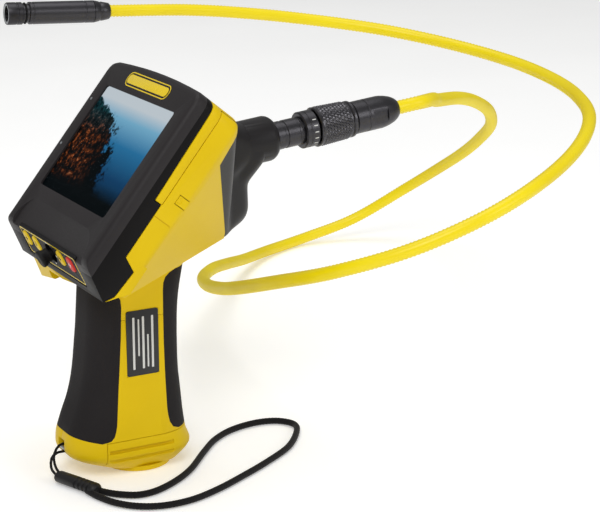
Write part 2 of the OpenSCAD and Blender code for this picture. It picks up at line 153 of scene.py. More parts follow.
def drawnAlong(name, corners, way):
    # a flat outline given a thickness
    bpy.ops.mesh.primitive_circle_add(vertices=len(corners), radius=1, fill_type="NGON")
    piece = named(name)
    for vertex, corner in zip(piece.data.vertices, corners):
        vertex.co = corner
    editing(piece)
    bpy.ops.mesh.extrude_region_move(TRANSFORM_OT_translate={"value": way})
    outward()
    return piece


def prism(name, corners, width):
    # an outline in X and Z, given width along Y
    return drawnAlong(name, [(x, -width / 2, z) for x, z in corners], (0, width, 0))


def drawnUp(name, outline, low, high):
    # an outline in X and Y drawn up from one height to another
    return drawnAlong(name, [(x, y, low) for x, y in outline], (0, 0, high - low))


def plate(name, length, width, corner, low, high, segments=6):
    # a flat plate in X and Y with rounded corners
    outline = []
    for turn in range(4):
        middle = Vector((length / 2 - corner, width / 2 - corner))
        middle *= Vector(((1, 1), (-1, 1), (-1, -1), (1, -1))[turn])
        for step in range(segments + 1):
            angle = pi / 2 * (turn + step / segments)
            outline.append(middle + corner * Vector((cos(angle), sin(angle))))
    return drawnUp(name, outline, low, high)


def lathe(name, stations, sides=64, hollow=False):
    # a circle drawn out along Z through (place, radius) stations; a hollow one comes back to its start
    place, radius = stations[0]
    bpy.ops.mesh.primitive_circle_add(
        vertices=sides, radius=radius, fill_type="NOTHING", location=(0, 0, place)
    )
    piece = settle(named(name))
    editing(piece, "EDGE")
    for nextPlace, nextRadius in stations[1:] + ([stations[0]] if hollow else []):
        bpy.ops.mesh.extrude_region_move(TRANSFORM_OT_translate={"value": (0, 0, nextPlace - place)})
        grow = nextRadius / radius
        bpy.ops.transform.resize(value=(grow, grow, 1), center_override=(0, 0, nextPlace))
        place, radius = nextPlace, nextRadius
    bpy.ops.mesh.select_all(action="SELECT")
    if hollow:
        bpy.ops.mesh.remove_doubles(threshold=0.001)
    else:
        bpy.ops.mesh.fill_holes(sides=0)
    outward()
    return piece


def modify(piece, kind, **settings):
    only(piece)
    modifier = piece.modifiers.new(kind.title(), kind)
    for key, value in settings.items():
        setattr(modifier, key, value)
    bpy.ops.object.modifier_apply(modifier=modifier.name)
    return piece


def carve(piece, tools, how="DIFFERENCE", keep=False):
    for tool in tools if isinstance(tools, list) else [tools]:
        modify(piece, "BOOLEAN", operation=how, solver="EXACT", object=tool)
        if not keep:
            bpy.data.objects.remove(tool)
    return piece


def soften(piece, width, segments=3, angle=32):
    editing(piece)
    bpy.ops.mesh.remove_doubles(threshold=0.002)
    bpy.ops.mesh.dissolve_limited(angle_limit=radians(1))
    done()
    return modify(
        piece, "BEVEL", width=width, segments=segments, limit_method="ANGLE", angle_limit=radians(angle),
        harden_normals=False, use_clamp_overlap=True,
    )


def twin(piece, name, matrix=None):
    # a copy with a mesh of its own
    copy = piece.copy()
    copy.data = piece.data.copy()
    copy.name = name
    bpy.context.collection.objects.link(copy)
    return settle(copy, matrix) if matrix is not None else copy


def joined(pieces, name):
    only(pieces[0])
    for other in pieces[1:]:
        other.select_set(True)
    if len(pieces) > 1:
        bpy.ops.object.join()
    return named(name)


def nodeCopy(node, name):
    # a merged copy of a CAD node, in millimetres
    copy = twin(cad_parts[node], name)
    copy.parent = None
    for key in list(copy.keys()):
        del copy[key]
    settle(copy, Matrix.Scale(1 / toMetres, 4))
    editing(copy)
    bpy.ops.mesh.remove_doubles(threshold=0.003)
    bpy.ops.mesh.dissolve_limited(angle_limit=radians(1))
    done()
    return copy


def finishPiece(piece, finish, body, nodes=(), smooth=32):
    settle(piece, Matrix.Scale(toMetres, 4))
    if smooth:
        bpy.ops.object.shade_smooth_by_angle(angle=radians(smooth))
    piece.data.materials.clear()
    piece.data.materials.append(finish)
    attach(piece, body)
    if nodes:
        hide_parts(*nodes)
    return piece


# finishes
def colour(code):
    channels = [int(code[i : i + 2], 16) / 255 for i in (1, 3, 5)]
    return [c / 12.92 if c <= 0.04045 else ((c + 0.055) / 1.055) ** 2.4 for c in channels] + [1]


def startFinish(name):
    finish = bpy.data.materials.new(name)
    finish.use_nodes = True
    return finish, finish.node_tree.nodes["Principled BSDF"]


def node(finish, kind, settings=None, stops=None, **links):
    # one node: its settings by name, its colour stops if it has any, and its inputs linked or set
    made = finish.node_tree.nodes.new(kind)
    for key, value in (settings or {}).items():
        setattr(made, key, value)
    for i, (place, code) in enumerate(stops or []):
        if i >= len(made.color_ramp.elements):
            made.color_ramp.elements.new(place)
        made.color_ramp.elements[i].position = place
        made.color_ramp.elements[i].color = colour(code)
    for key, value in links.items():
        key = key.replace("_", " ")
        socket = made.inputs[int(key[5:])] if key.startswith("input") else made.inputs[key]
        if isinstance(value, bpy.types.NodeSocket):
            finish.node_tree.links.new(value, socket)
        else:
            socket.default_value = value
    return made


def perMetre(size):
    # pattern scale for a feature of this many millimetres
    return 1 / (size * toMetres)


def moulded(name, base, worn, roughness, grain, depth, shine=0.2, coat=0.0):
    # a moulded surface: slow tint drift, spark-eroded grain in gloss and relief
    finish, shader = startFinish(name)
    place = node(finish, "ShaderNodeTexCoord").outputs["Object"]
    drift = node(finish, "ShaderNodeTexNoise", Vector=place, Scale=perMetre(38), Detail=3.0).outputs["Fac"]
    fine = node(finish, "ShaderNodeTexNoise", Vector=place, Scale=perMetre(grain), Detail=4.0).outputs["Fac"]
    tint = node(finish, "ShaderNodeValToRGB", stops=[(0.3, base), (0.75, worn)], Fac=drift)
    finish.node_tree.links.new(tint.outputs["Color"], shader.inputs["Base Color"])
    spread = node(finish, "ShaderNodeMapRange", Value=fine, To_Min=roughness - 0.06, To_Max=roughness + 0.08)
    finish.node_tree.links.new(spread.outputs["Result"], shader.inputs["Roughness"])
    bump = node(finish, "ShaderNodeBump", Height=fine, Strength=0.35, Distance=depth * toMetres)
    finish.node_tree.links.new(bump.outputs["Normal"], shader.inputs["Normal"])
    shader.inputs["Specular IOR Level"].default_value = shine
    shader.inputs["Coat Weight"].default_value = coat
    shader.inputs["Coat Roughness"].default_value = 0.25
    return finish


def metal(name, dark, pale, roughness, brush):
    # a turned metal: fine marks in tone, gloss and relief, drawn coarse enough to show
    finish, shader = startFinish(name)
    place = node(finish, "ShaderNodeTexCoord").outputs["Object"]
    fine = node(finish, "ShaderNodeTexNoise", Vector=place, Scale=perMetre(brush), Detail=5.0).outputs["Fac"]
    tint = node(finish, "ShaderNodeValToRGB", stops=[(0.3, dark), (0.7, pale)], Fac=fine)
    finish.node_tree.links.new(tint.outputs["Color"], shader.inputs["Base Color"])
    spread = node(finish, "ShaderNodeMapRange", Value=fine, To_Min=roughness - 0.05, To_Max=roughness + 0.09)
    finish.node_tree.links.new(spread.outputs["Result"], shader.inputs["Roughness"])
    bump = node(finish, "ShaderNodeBump", Height=fine, Strength=0.2, Distance=0.02 * toMetres)
    finish.node_tree.links.new(bump.outputs["Normal"], shader.inputs["Normal"])
    shader.inputs["Metallic"].default_value = 1
    return finish


# charcoal ABS with a fine eroded grain: a soft, slightly warm black that never quite shines
faceAbs = moulded("charcoalAbsFineGrain", "#242122", "#292627", 0.5, 0.7, 0.05)
# the same plastic on the console's sides, painted darker as shade: the darkest black on the object
shadedSideAbs = moulded("blackAbsSatinPaintedShade", "#0b0909", "#100e0e", 0.48, 0.7, 0.04, 0.12)
# smoother black at the nose: a wide, faint highlight over the rounded cowl
noseAbs = moulded("blackAbsSmooth", "#181617", "#1d1b1c", 0.4, 0.8, 0.03, 0.25)
# yellow ABS: a strong, clean colour with a satin surface
yellowAbs = moulded("yellowAbsSatin", "#d5b302", "#dcbb05", 0.42, 0.8, 0.03, 0.15)
# silicone rubber keys: the housing's yellow gone a little dull, and a warm red for power
keyPlastic = moulded("yellowKeySilicone", "#dcbc0c", "#d2b00c", 0.5, 0.5, 0.02)
redPlastic = moulded("redKeySilicone", "#cf352c", "#c02c25", 0.5, 0.5, 0.02)
# the badge: brighter than the housing and glossy, as a printed and domed part is
badgePlastic = moulded("yellowBadgeGloss", "#e8ca12", "#e0c00e", 0.25, 1.2, 0.01, 0.3, 0.3)
# thermoplastic rubber, bead blasted: dull, a little paler where hands have rubbed it
gripRubber = moulded("overmouldedRubber", "#1a1718", "#211e1f", 0.72, 0.9, 0.12)
# softer rubber on the knob: the dullest black
knobRubber = moulded("knobRubber", "#0f0e0f", "#151414", 0.6, 0.6, 0.05)
# the keypad's film: flat and almost black, so the keys stand out
platePlastic = moulded("keypadFilmBlack", "#0b0a0b", "#100f10", 0.62, 1.5, 0.01)
# polyester label: black with a slight gloss against the satin yellow
labelFilm = moulded("labelPolyesterBlack", "#100f10", "#151414", 0.32, 1.5, 0.01, 0.4, 0.2)
# printing inks: flat white and flat brown-black
printWhite = moulded("printedWhiteInk", "#d0d0cc", "#c4c4c0", 0.55, 0.6, 0.005)
printDark = moulded("printedDarkInk", "#3a3209", "#2b2507", 0.55, 0.6, 0.005)
# grey nylon of the inner parts: plain and slightly cloudy
innerPlastic = moulded("greyNylonInner", "#46494e", "#505359", 0.6, 0.7, 0.04)
# smoked lenses over the two status lights: small, glossy and grey
lightLens = moulded("statusLensSmoked", "#6c6f72", "#7c8083", 0.25, 1.0, 0.01, 0.5, 0.5)
# solder lacquer over the boards: glossy green
boardGreen = moulded("circuitBoardLacquer", "#1f6a43", "#17583a", 0.35, 3.0, 0.03, 0.5, 0.4)
# white lacquer behind the lamps: it gives their light a pale ground
lampBoard = moulded("lampBoardWhite", "#e6e8e3", "#dcdfd9", 0.45, 0.8, 0.01)
# foil round the flat battery: a crumpled silver sheen
foilWrap = moulded("batteryFoilWrap", "#b4b9be", "#a6abb1", 0.35, 2.0, 0.05, 0.6)
# shrink sleeve on the cells: a glossy brass-brown film
cellWrap = moulded("cellShrinkSleeve", "#b98a2e", "#a67a25", 0.3, 4.0, 0.02, 0.5, 0.3)
# vinyl over the bendable tube: the brightest yellow, with a soft gloss between its ribs
cableJacket = moulded("yellowVinylSleeve", "#f2dc08", "#e9d006", 0.36, 1.6, 0.03, 0.3, 0.1)
# nylon of the strap's crimp: black and faintly shiny on its ridges
crimpPlastic = moulded("crimpNylonBlack", "#141314", "#1b1a1b", 0.45, 0.7, 0.03, 0.3)
# black anodised aluminium: dark, yet it throws a clear streak of light along each turned part
blackAnodised = metal("blackAnodisedAluminium", "#414043", "#4d4c4f", 0.34, 0.35)
# the same metal on the knurl, painted a shade paler as a highlight, so each raised point seems to catch the
# light
knurlHighlightAnodised = metal("knurledAnodisedPaintedHighlight", "#434245", "#565558", 0.3, 0.5)
# blackened steel ring and a satin steel face at the camera's tip
tipBlack = metal("blackenedSteelTip", "#363538", "#454447", 0.36, 0.3)
tipSteel = metal("satinStainlessFace", "#8f9295", "#a5a8ab", 0.33, 0.3)
# zinc-plated screws and springs: a cool dull silver
screwSteel = metal("zincPlatedSteel", "#96999c", "#a9acae", 0.35, 0.5)
# gold flash on the contacts: warm and bright
goldPlate = metal("goldPlatedBrass", "#c79a3a", "#d8ad4c", 0.28, 0.4)

# thin acrylic with an anti-glare coat: the picture comes straight through it
windowGlass, shader = startFinish("antiGlareAcrylicWindow")
shader.inputs["Base Color"].default_value = colour("#101416")
shader.inputs["Alpha"].default_value = 0.06
shader.inputs["Roughness"].default_value = 0.12
shader.inputs["Specular IOR Level"].default_value = 0
# plain glass over the lens: it mirrors the room as a pale grey disc
lensGlass, shader = startFinish("lensCoverGlass")
shader.inputs["Base Color"].default_value = colour("#f4f8fa")
shader.inputs["Transmission Weight"].default_value = 1
shader.inputs["Roughness"].default_value = 0.04
shader.inputs["IOR"].default_value = 1.52
# a phosphor dome, faintly lit: a small warm white spot
lampLens, shader = startFinish("warmWhiteLamp")
shader.inputs["Base Color"].default_value = colour("#fff3cf")
shader.inputs["Emission Color"].default_value = colour("#fff3cf")
shader.inputs["Emission Strength"].default_value = 0.6
shader.inputs["Roughness"].default_value = 0.25


def screenPicture():
    # liquid crystal panel showing a made-up view: pale water above, blue to one side, a dark rocky bank
    finish, shader = startFinish("liquidCrystalPicture")
    lean = radians(layout["screenLean"])
    middle = Matrix.Rotation(lean, 3, "Y") @ (Vector(layout["screenMiddle"]) * toMetres)
    place = node(finish, "ShaderNodeTexCoord").outputs["Object"]
    onScreen = node(
        finish, "ShaderNodeMapping", Vector=place, Location=[-c for c in middle], Rotation=(0, lean, 0)
    ).outputs["Vector"]
    axes = node(finish, "ShaderNodeSeparateXYZ", Vector=onScreen)
    upward, across = axes.outputs["X"], axes.outputs["Y"]
    height = node(
        finish, "ShaderNodeMapRange", Value=upward, From_Min=-0.026, From_Max=0.026
    ).outputs["Result"]
    ragged = node(
        finish, "ShaderNodeTexNoise", Vector=onScreen, Scale=perMetre(9), Detail=9.0, Roughness=0.72
    ).outputs["Fac"]
    speckle = node(
        finish, "ShaderNodeTexNoise", Vector=onScreen, Scale=perMetre(2.6), Detail=8.0, Roughness=0.75
    ).outputs["Fac"]
    water = node(
        finish, "ShaderNodeValToRGB", Fac=height,
        stops=[(0.0, "#06202f"), (0.3, "#123f66"), (0.58, "#28709e"), (0.8, "#74acca"), (0.93, "#c3cdd4")],
    ).outputs["Color"]
    # the bank rises towards the left-hand lower corner
    slope = node(finish, "ShaderNodeMath", {"operation": "MULTIPLY"}, input0=upward, input1=-0.62).outputs[0]
    crest = node(finish, "ShaderNodeMapRange", Value=upward, From_Min=0.012, From_Max=0.026, To_Max=-0.032)
    leaning = node(finish, "ShaderNodeMath", {"operation": "ADD"}, input0=across, input1=slope).outputs[0]
    lie = node(
        finish, "ShaderNodeMath", {"operation": "ADD"}, input0=leaning, input1=crest.outputs["Result"]
    ).outputs[0]
    rough = node(
        finish, "ShaderNodeMapRange", Value=ragged, From_Min=0.3, From_Max=0.7, To_Min=-0.012, To_Max=0.012
    ).outputs["Result"]
    edge = node(finish, "ShaderNodeMath", {"operation": "ADD"}, input0=lie, input1=rough).outputs[0]
    bank = node(finish, "ShaderNodeMapRange", Value=edge, From_Min=-0.0012, From_Max=0.0012).outputs["Result"]
    low = node(
        finish, "ShaderNodeMapRange", Value=upward, From_Min=-0.0135, From_Max=-0.021
    ).outputs["Result"]
    rock = node(
        finish, "ShaderNodeValToRGB", Fac=speckle,
        stops=[(0.4, "#060707"), (0.5, "#170f0c"), (0.57, "#57290f"), (0.63, "#a8582c"), (0.72, "#c99a72")],
    ).outputs["Color"]
    cool = node(
        finish, "ShaderNodeValToRGB", Fac=speckle,
        stops=[(0.42, "#040c10"), (0.58, "#123a40"), (0.72, "#2f6a6a")],
    ).outputs["Color"]
    warmth = node(
        finish, "ShaderNodeMapRange", Value=upward, From_Min=0.004, From_Max=0.016
    ).outputs["Result"]
    stone = node(
        finish, "ShaderNodeMix", {"data_type": "RGBA"}, input0=warmth, input6=rock, input7=cool
    ).outputs[2]
    shade = node(finish, "ShaderNodeMapRange", Value=across, From_Min=0.003, From_Max=0.022).outputs["Result"]
    dusk = node(
        finish, "ShaderNodeMix", {"data_type": "RGBA"}, input0=shade, input6=colour("#04080a"), input7=stone
    ).outputs[2]
    view = node(
        finish, "ShaderNodeMix", {"data_type": "RGBA"}, input0=bank, input6=water, input7=dusk
    ).outputs[2]
    whole = node(
        finish, "ShaderNodeMix", {"data_type": "RGBA"}, input0=low, input6=view, input7=colour("#05090b")
    ).outputs[2]
    finish.node_tree.links.new(whole, shader.inputs["Emission Color"])
    shader.inputs["Base Color"].default_value = colour("#0a0c0d")
    shader.inputs["Emission Strength"].default_value = 1.0
    shader.inputs["Specular IOR Level"].default_value = 0
    return finish


pictureFinish = screenPicture()


def woven(name, base, pale):
    # braided thread: matt, with a faint sheen along it
    finish, shader = startFinish(name)
    place = node(finish, "ShaderNodeTexCoord").outputs["Object"]
    threads = node(
        finish, "ShaderNodeTexNoise", Vector=place, Scale=perMetre(0.35), Detail=3.0
    ).outputs["Fac"]
    tint = node(finish, "ShaderNodeValToRGB", stops=[(0.35, base), (0.7, pale)], Fac=threads)
    finish.node_tree.links.new(tint.outputs["Color"], shader.inputs["Base Color"])
    bump = node(finish, "ShaderNodeBump", Height=threads, Strength=0.5, Distance=0.1 * toMetres)
    finish.node_tree.links.new(bump.outputs["Normal"], shader.inputs["Normal"])
    shader.inputs["Roughness"].default_value = 0.8
    shader.inputs["Specular IOR Level"].default_value = 0.15
    shader.inputs["Sheen Weight"].default_value = 0.08
    return finish


# polyester braid of the strap: matt black with paler threads
cordWeave = woven("wovenPolyesterCord", "#0b0a0b", "#1b191a")
# the thin waxed string it hangs from: a touch darker
stringWeave = woven("waxedPolyesterString", "#090809", "#161415")
print("finishes ready")


# cords
def curvePoint(points, i, t):
    a, b, c, d = (points[min(max(k, 0), len(points) - 1)] for k in (i - 1, i, i + 1, i + 2))
    return 0.5 * (2 * b + (c - a) * t + (2 * a - 5 * b + 4 * c - d) * t * t + (3 * b - a - 3 * c + d) * t**3)


def evenRoute(points, pitch):
    # points a fixed distance apart along the smooth curve through the route
    points = [Vector(p) for p in points]
    dense = [curvePoint(points, i, j / 40) for i in range(len(points) - 1) for j in range(40)] + [points[-1]]
    whole = sum((b - a).length for a, b in zip(dense, dense[1:]))
    count = round(whole / pitch)
    route, travelled, target = [dense[0]], 0, whole / count
    for a, b in zip(dense, dense[1:]):
        step = (b - a).length
        while travelled + step >= target - 1e-9 and len(route) < count:
            route.append(a.lerp(b, (target - travelled) / step))
            target += whole / count
        travelled += step
    return route + [dense[-1]], whole


def sweep(name, route, sides, radiusAt):
    # a closed tube whose rings follow the route; radiusAt(ring, angle) gives its surface
    mesh = bpy.data.meshes.new(name)
    corners, faces = [], []
    side = Vector((0.1, 0.2, 1))
    for i, point in enumerate(route):
        ahead = (route[min(i + 1, len(route) - 1)] - route[max(i - 1, 0)]).normalized()
        side = (side - ahead * side.dot(ahead)).normalized()
        other = ahead.cross(side)
        for k in range(sides):
            angle = 2 * pi * k / sides
            corners.append(point + radiusAt(i, angle) * (side * cos(angle) + other * sin(angle)))
    for i in range(len(route) - 1):
        for k in range(sides):
            n = (k + 1) % sides
            faces.append((i * sides + k, i * sides + n, (i + 1) * sides + n, (i + 1) * sides + k))
    faces.append(tuple(reversed(range(sides))))
    faces.append(tuple((len(route) - 1) * sides + k for k in range(sides)))
    mesh.from_pydata(corners, [], faces)
    mesh.update()
    piece = bpy.data.objects.new(name, mesh)
    bpy.context.collection.objects.link(piece)
    return piece


probeTube = {
    "diameter": 6.75,
    "ribPitch": 2.0,
    "ribDepth": 0.36,
    "route": [
        (169, 8.5, 149.8), (180, 22, 146), (209, 47, 140), (237, 73, 131), (263, 98, 119), (284, 126, 104),
        (299, 159, 88), (311, 193, 72), (318, 228, 55), (311, 259, 35), (285, 279, 14), (250, 283, 4.6),
        (216, 268, 4.6), (186, 241, 10), (157, 206, 20), (133, 176, 28), (112, 145, 34), (97, 110, 41),
        (87, 74, 50), (79, 38, 61), (79, 2, 73), (92, -32, 85), (119, -56, 98), (153, -66, 112),
        (189, -58, 123), (221, -39, 131), (247, -12, 137), (265, 22, 140), (276, 59, 142), (277, 97, 145),
        (263, 133, 150), (237, 162, 156), (206, 182, 161), (170, 195, 166), (132, 202, 170),
    ],
}
startOfTube = [Vector(layout["nosePoint"]) + s * noseWay for s in (60, 68, 78)]
endOfTube = [Vector(layout["headPoint"]) + s * headWay for s in (0, 9)]
tubeRoute, tubeLength = evenRoute(startOfTube + probeTube["route"] + endOfTube, probeTube["ribPitch"] / 2)
tubeRadius = probeTube["diameter"] / 2
tube = sweep(
    "probeTube", tubeRoute, 18, lambda ring, angle: tubeRadius - (probeTube["ribDepth"] if ring % 2 else 0)
)
finishPiece(tube, cableJacket, "probe", ["gooseneck_tube"], smooth=60)

strap = {
    "diameter": 3.0,
    "route": [
        (-27, -27, 2), (-24, -32, 1.6), (-19, -38, 1.6), (-12, -42.5, 1.6), (-3, -42, 1.6), (9, -36, 1.6),
        (21, -26.5, 1.6), (35, -11, 1.6), (47, 1, 1.6), (60, 8.5, 1.6), (74, 11, 1.6), (84, 8, 1.6),
        (88.5, 0, 1.6), (84, -10, 1.6), (72, -24, 1.6), (55, -35.5, 1.6), (38, -45, 1.6), (21, -53.5, 1.6),
        (6, -58.5, 1.6), (-7, -58.5, 1.6), (-17, -54, 1.6), (-24, -46, 1.6), (-28, -36, 1.6), (-30, -28, 2),
    ],
    "string": [
        (-33.2, -13.5, 3.2), (-34.6, -10, 3.6), (-35.6, -6, 6.4), (-35, -3, 10.2), (-32.6, -1.5, 13.4),
        (-29.6, -0.7, 14.3), (-27.2, -0.2, 12.6), (-28.3, 0.4, 10.3), (-31.6, 0.9, 9.9), (-34.8, 0.2, 8.2),
        (-36.8, -4, 5.2), (-36.4, -9, 3.6), (-35, -13, 3.2),
    ],
    "stringDiameter": 1.2,
}
strapRoute, strapLength = evenRoute(strap["route"], 0.45)


def braidRadius(ring, angle):
    # two sets of threads that cross round the cord
    crossing = sin(4 * angle + ring * 0.9) * sin(4 * angle - ring * 0.9)
    return strap["diameter"] / 2 * (0.97 + 0.05 * crossing)


strapCord = sweep("strapCord", strapRoute, 20, braidRadius)
finishPiece(strapCord, cordWeave, "body", ["strap_cord"], smooth=60)
stringRoute, stringLength = evenRoute(strap["string"], 0.3)
strapString = sweep(
    "strapString", stringRoute, 12,
    lambda ring, angle: strap["stringDiameter"] / 2 * (1 + 0.06 * sin(3 * angle + ring * 0.8)),
)
finishPiece(strapString, stringWeave, "body", ["strap_string"], smooth=60)
print(f"cords: tube {tubeLength:.0f} mm, strap {strapLength:.0f} mm, string {stringLength:.0f} mm")

# console
console = {
    "halfWidth": 46,
    "side": [
        (41.4, 0), (41.4, -8.6), (-9, -9.9), (-9, -13.5), (-35.3, -13.5), (-38.5, -20.5), (-51.5, -19.5),
        (-56, -16.5), (-47.2, 0),
    ],
    "frontDepth": 5.5,
    "edgeRound": 2.6,
    "window": (53.6, 71.1),
    "dish": (40, 79, 13),
    "dishEnd": -33.5,
    "dishRise": 8,
    "tub": ((-44, -40, -20.5), (34, 40, -5.5)),
}


def consolePlan(name, low, high):
    # the face seen square on: arched along the top, with rounded corners
    arch = [(41 - 0.001 * w * w, w) for w in range(-40, 41, 5)]
    corner = [(38.5, 42.8), (37.4, 44.5), (35.6, 45.6), (33, 46)]
    left = [(u, -w) for u, w in reversed(corner)]
    outline = [(-70, 46), *reversed(corner), *reversed(arch), *reversed(left), (-70, -46)]
    return drawnUp(name, outline, low, high)


shellForm = prism("shellForm", console["side"], 2 * console["halfWidth"])
carve(shellForm, consolePlan("plan", -40, 5), "INTERSECT")
editing(shellForm)
bpy.ops.mesh.remove_doubles(threshold=0.002)
bpy.ops.mesh.dissolve_limited(angle_limit=radians(0.5))
done()
pickEdges(shellForm, lambda a, b: abs(a.z) < 0.01 and abs(b.z) < 0.01)
bpy.ops.mesh.bevel(offset=console["edgeRound"], segments=5, affect="EDGES", clamp_overlap=True)
done()

keypadHole = [
    block("hole", (-15.4, -32.4, -1.8), (-0.2, 32.4, 5)),
    block("hole", (-14.5, -31, -7), (-2, 31, -1)),
]
for hole in keypadHole:
    settle(hole, screenAt.inverted() @ keypadAt)

front = twin(shellForm, "consoleFront")
carve(front, block("cut", (-80, -80, -40), (80, 80, -console["frontDepth"])))
windowHole = plate("windowHole", *console["window"], 1.6, -10, 1)
carve(front, windowHole)
dish = plate("dish", *console["dish"], 0, 8, segments=8)
dishAt = Matrix.Translation((console["dishEnd"], 0, 0)) @ turned(-console["dishRise"], "Y")
settle(dish, dishAt @ Matrix.Translation((-console["dish"][0] / 2, 0, 0)))
carve(front, dish)
carve(front, block("cavity", (-30, -43, -console["frontDepth"] - 1), (36, 43, -1)))
carve(front, [twin(hole, "holeCopy") for hole in keypadHole])
soften(front, 0.45, 2)
settle(front, screenAt)
finishPiece(front, faceAbs, "console", ["console_bezel"])

rear = shellForm
carve(rear, block("cut", (-80, -80, -console["frontDepth"] + 0.12), (80, 80, 5)))
carve(rear, block("tub", *console["tub"]), "UNION")
carve(rear, block("cavity", (-40.5, -43, -7.2), (36, 43, 1)))
carve(rear, block("cavity", (-40.5, -38, -18.5), (32, 38, 0)))
carve(rear, keypadHole)
soften(rear, 0.5, 2)
settle(rear, screenAt)
rear.name = "consoleRear"
# the rear shell takes the darker copy of the face's plastic: painted shade on the console's sides
finishPiece(rear, shadedSideAbs, "console", ["console_back"])

badge = {"u": 33.3, "length": 43, "height": 7.2, "line": 0.5, "gap": 0.85}
badgeRing = plate("badgeRing", badge["height"], badge["length"], badge["height"] / 2 - 0.02, 0.02, 0.15, 8)
inner = badge["height"] - 2 * badge["line"]
carve(badgeRing, plate("inner", inner, badge["length"] - 2 * badge["line"], inner / 2 - 0.02, -1, 2, 8))
heart = inner - 2 * badge["gap"]
heartLength = badge["length"] - 2 * (badge["line"] + badge["gap"])
badgeHeart = plate("heart", heart, heartLength, heart / 2 - 0.02, 0.02, 0.35, 8)
soften(badgeHeart, 0.12, 3)
badgePiece = joined([badgeRing, badgeHeart], "blankBadge")
settle(badgePiece, screenAt @ Matrix.Translation((badge["u"], 0, 0)))
finishPiece(badgePiece, badgePlastic, "console", ["name_badge"])

dots = []
for u in (-6.2, 18.1):
    dot = lathe("dot", [(0.0, 0.7), (0.15, 0.7), (0.28, 0.5), (0.3, 0.25)], 24)
    dots.append(settle(dot, screenAt @ Matrix.Translation((u, 41, 0))))
finishPiece(joined(dots, "statusDots"), lightLens, "console", ["status_lights"])

# keypad: a recessed film plate with a printed border, oval keys and a knob
keypad = {
    "panel": (14.8, 63.8),
    "keyX": -6.2,
    "keys": {"left_outer_key": 26, "left_inner_key": 15, "right_inner_key": -12.6, "power_button": -23.7},
    "nodes": {
        "left_outer_key": "key_left_outer", "left_inner_key": "key_left_inner",
        "right_inner_key": "key_right_inner", "power_button": "power_key",
    },
    "knobX": -7.2,
}
panelShift = Matrix.Translation((-8.1, 0, 0))
panel = settle(plate("keypadPlate", *keypad["panel"], 1.2, -1.7, 0), panelShift)
for y in keypad["keys"].values():
    carve(panel, settle(plate("hole", 8.5, 6.5, 3.1, -3, 2), Matrix.Translation((keypad["keyX"], y, 0))))
knobHole = lathe("knobHole", [(-3, 4.8), (2, 4.8)], 40)
carve(panel, settle(knobHole, Matrix.Translation((keypad["knobX"], 0, 0))))
soften(panel, 0.15, 2)
settle(panel, keypadAt)
finishPiece(panel, platePlastic, "console", ["keypad_plate"])

border = settle(plate("keypadBorder", 13.6, 62.4, 1.0, 0.0, 0.12), panelShift)
carve(border, settle(plate("inside", 12.7, 61.5, 0.7, -1, 1), panelShift))
settle(border, keypadAt)
finishPiece(border, badgePlastic, "console", smooth=None)

for bodyName, y in keypad["keys"].items():
    isRed = bodyName == "power_button"
    capFinish, capSlot = (redPlastic, "key_red") if isRed else (keyPlastic, "key_yellow")
    markFinish, markSlot = (printWhite, "light_grey") if isRed else (printDark, "keypad_black")
    keyAt = keypadAt @ Matrix.Translation((keypad["keyX"], y, 0))
    cap = plate("key", 7.8, 5.8, 2.8, -1.6, 0.7, 8)
    pickEdges(cap, lambda a, b: a.z > 0.6 and b.z > 0.6)
    bpy.ops.mesh.bevel(offset=0.8, segments=4, affect="EDGES")
    done()
    settle(cap, keyAt)
    cap.name = bodyName + "Cap"
    finishPiece(cap, capFinish, bodyName, [keypad["nodes"][bodyName]])
    marks = [plate("mark", 2.6, 0.55, 0.2, 0.7, 0.78, 2)]
    if bodyName != "left_inner_key":
        marks.append(plate("mark", 0.55, 2.6, 0.2, 0.7, 0.78, 2))
    mark = settle(joined(marks, bodyName + "Mark"), keyAt)
    finishPiece(mark, markFinish, bodyName, smooth=None)

arrows = []
for y, spin in ((6.4, 90), (-6.4, -90), (0, 0), (0, 180)):
    reach = 5.4 if y == 0 else 0
    bpy.ops.mesh.primitive_cylinder_add(vertices=3, radius=0.75, depth=0.1)
    arrow = settle(named("arrow"), turned(-spin, "Z"))
    shift = (keypad["knobX"] + (reach if spin == 0 else -reach), y, 0.05)
    arrows.append(settle(arrow, keypadAt @ Matrix.Translation(shift)))
finishPiece(joined(arrows, "arrowMarks"), printWhite, "console", smooth=None)

knob = lathe(
    "joystickKnob",
    [(-1.7, 1.6), (0.9, 1.6), (1.0, 2.9), (1.25, 3.2), (2.9, 3.2), (4.2, 3.75), (4.7, 4.0), (5.4, 4.0),
     (5.8, 3.8),
     (6.1, 3.2), (6.15, 2.4), (5.95, 1.2), (5.9, 0.3)],
    40,
)
settle(knob, keypadAt @ Matrix.Translation((keypad["knobX"], 0, 0)))
finishPiece(knob, knobRubber, "joystick", ["joystick_cap"])
print("console done")

# yellow body
body = {
    "wall": 2.6,
    "gripThickness": 1.3,
    "seamHeight": 73,
    "coverHeight": 17.5,
    "sections": [
        (2.5, -13, 24, 14.5), (9, -28, 29.5, 19.2), (16, -30, 27.5, 19.3), (24, -27.8, 26.3, 19),
        (34, -24, 25.4, 18.4), (46, -21.3, 24.4, 17.8), (66, -19, 24.3, 17.5), (80, -18, 25.3, 17.5),
        (94, -17, 28, 17.5),
    ],
    "corner": 11,
    "rearZone": [
        (-45, 25), (-30, 20.5), (-18, 17.8), (-14, 18.5), (-12.4, 20.2), (-11.6, 22.5), (-11, 25), (-8.7, 49),
        (-7.5, 65), (-6.9, 79), (-7.2, 82.4), (-8.6, 84.8), (-12, 86), (-45, 86),
    ],
    "frontZone": [
        (13.6, 30), (13, 60), (13, 84), (13.3, 87.4), (14.4, 90), (16.6, 91.8), (19.5, 92.8), (24, 93),
        (45, 93),
        (45, 18.3), (20, 18.3), (16.6, 19.8), (14.8, 22.6), (14, 26),
    ],
    "cowlSide": [(47, 176), (41, 161.8), (29.4, 143.4), (44.5, 106), (46, 90), (120, 90), (120, 176)],
}


